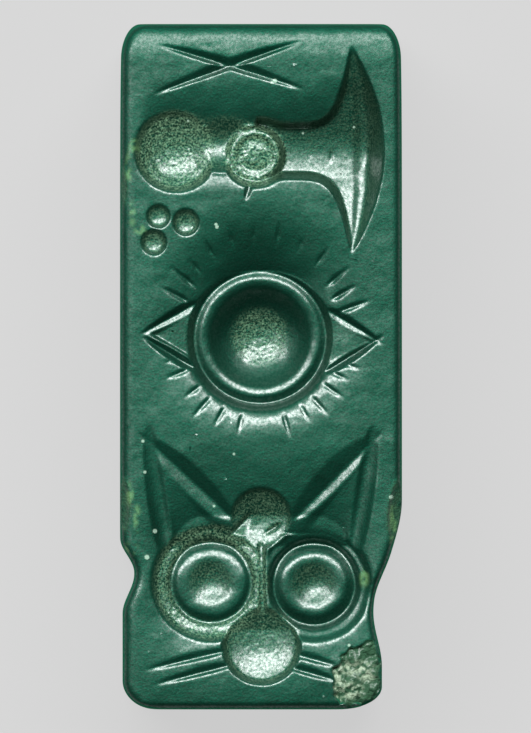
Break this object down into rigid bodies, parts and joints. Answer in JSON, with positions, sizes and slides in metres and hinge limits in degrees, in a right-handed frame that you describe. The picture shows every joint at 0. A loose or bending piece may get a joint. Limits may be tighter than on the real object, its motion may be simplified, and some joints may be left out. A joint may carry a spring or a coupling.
{
  "type": "seal stone",
  "caption": "Square-sectioned bar of polished green stone, its upper face engraved with crossed strokes, a trumpet device, an eye and a cat's head, and bored lengthwise for a cord.",
  "frame": {"origin": "centre of the plain underside that the stone lies on, midway along its full length and width", "axes": "+X across the engraved face to the right, +Y along it towards the end with the crossed strokes, +Z out of the engraved face"},
  "size_m": [0.007, 0.017, 0.006],
  "materials": {
    "jasper": "satin polish worn by handling, with rough drilled hollows and broken edges"
  },
  "bodies": {
    "root": {"seal_stone": "jasper"}
  },
  "joints": []
}
